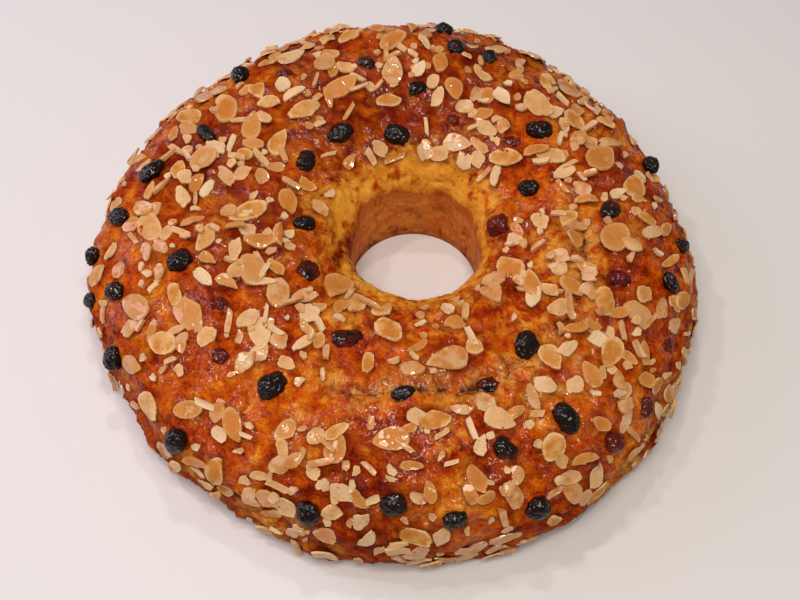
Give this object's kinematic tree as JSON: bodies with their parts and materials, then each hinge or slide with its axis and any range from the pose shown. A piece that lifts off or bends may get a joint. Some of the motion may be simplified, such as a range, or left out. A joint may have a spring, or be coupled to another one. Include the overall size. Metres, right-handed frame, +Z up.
{
  "type": "king cake",
  "caption": "Baked ring cake of yeast dough with an off-centre hole, a glossy brown crust, flaked almonds and raisins pressed into the top.",
  "frame": {"origin": "middle of the bounding box on the underside, where the cake stands", "axes": "+Z up out of the crown, -Y towards the near side of the picture, +X to its right"},
  "size_m": [0.3006, 0.3058, 0.0722],
  "materials": {
    "crust": "baked amber-brown crust with a thin shiny syrup glaze, darker at the outer foot and paler in the hole",
    "raisin": "wrinkled dark dried fruit with a thin shine"
  },
  "bodies": {
    "root": {"ring": "crust", "raisin_01": "raisin", "raisin_02": "raisin", "raisin_03": "raisin", "raisin_04": "raisin", "raisin_05": "raisin", "raisin_06": "raisin", "raisin_07": "raisin", "raisin_08": "raisin", "raisin_09": "raisin", "raisin_10": "raisin", "raisin_11": "raisin", "raisin_12": "raisin", "raisin_13": "raisin", "raisin_14": "raisin", "raisin_15": "raisin", "raisin_16": "raisin", "raisin_17": "raisin", "raisin_18": "raisin", "raisin_19": "raisin", "raisin_20": "raisin", "raisin_21": "raisin", "raisin_22": "raisin", "raisin_23": "raisin", "raisin_24": "raisin", "raisin_25": "raisin", "raisin_26": "raisin", "raisin_27": "raisin", "raisin_28": "raisin", "raisin_29": "raisin", "raisin_30": "raisin", "raisin_31": "raisin", "raisin_32": "raisin", "raisin_33": "raisin", "raisin_34": "raisin", "raisin_35": "raisin", "raisin_36": "raisin", "raisin_37": "raisin", "raisin_38": "raisin", "raisin_39": "raisin", "raisin_40": "raisin", "raisin_41": "raisin", "raisin_42": "raisin", "raisin_43": "raisin", "raisin_44": "raisin", "raisin_45": "raisin", "raisin_46": "raisin", "raisin_47": "raisin", "raisin_48": "raisin", "raisin_49": "raisin", "raisin_50": "raisin", "raisin_51": "raisin", "raisin_52": "raisin", "raisin_53": "raisin", "raisin_54": "raisin"}
  },
  "joints": []
}
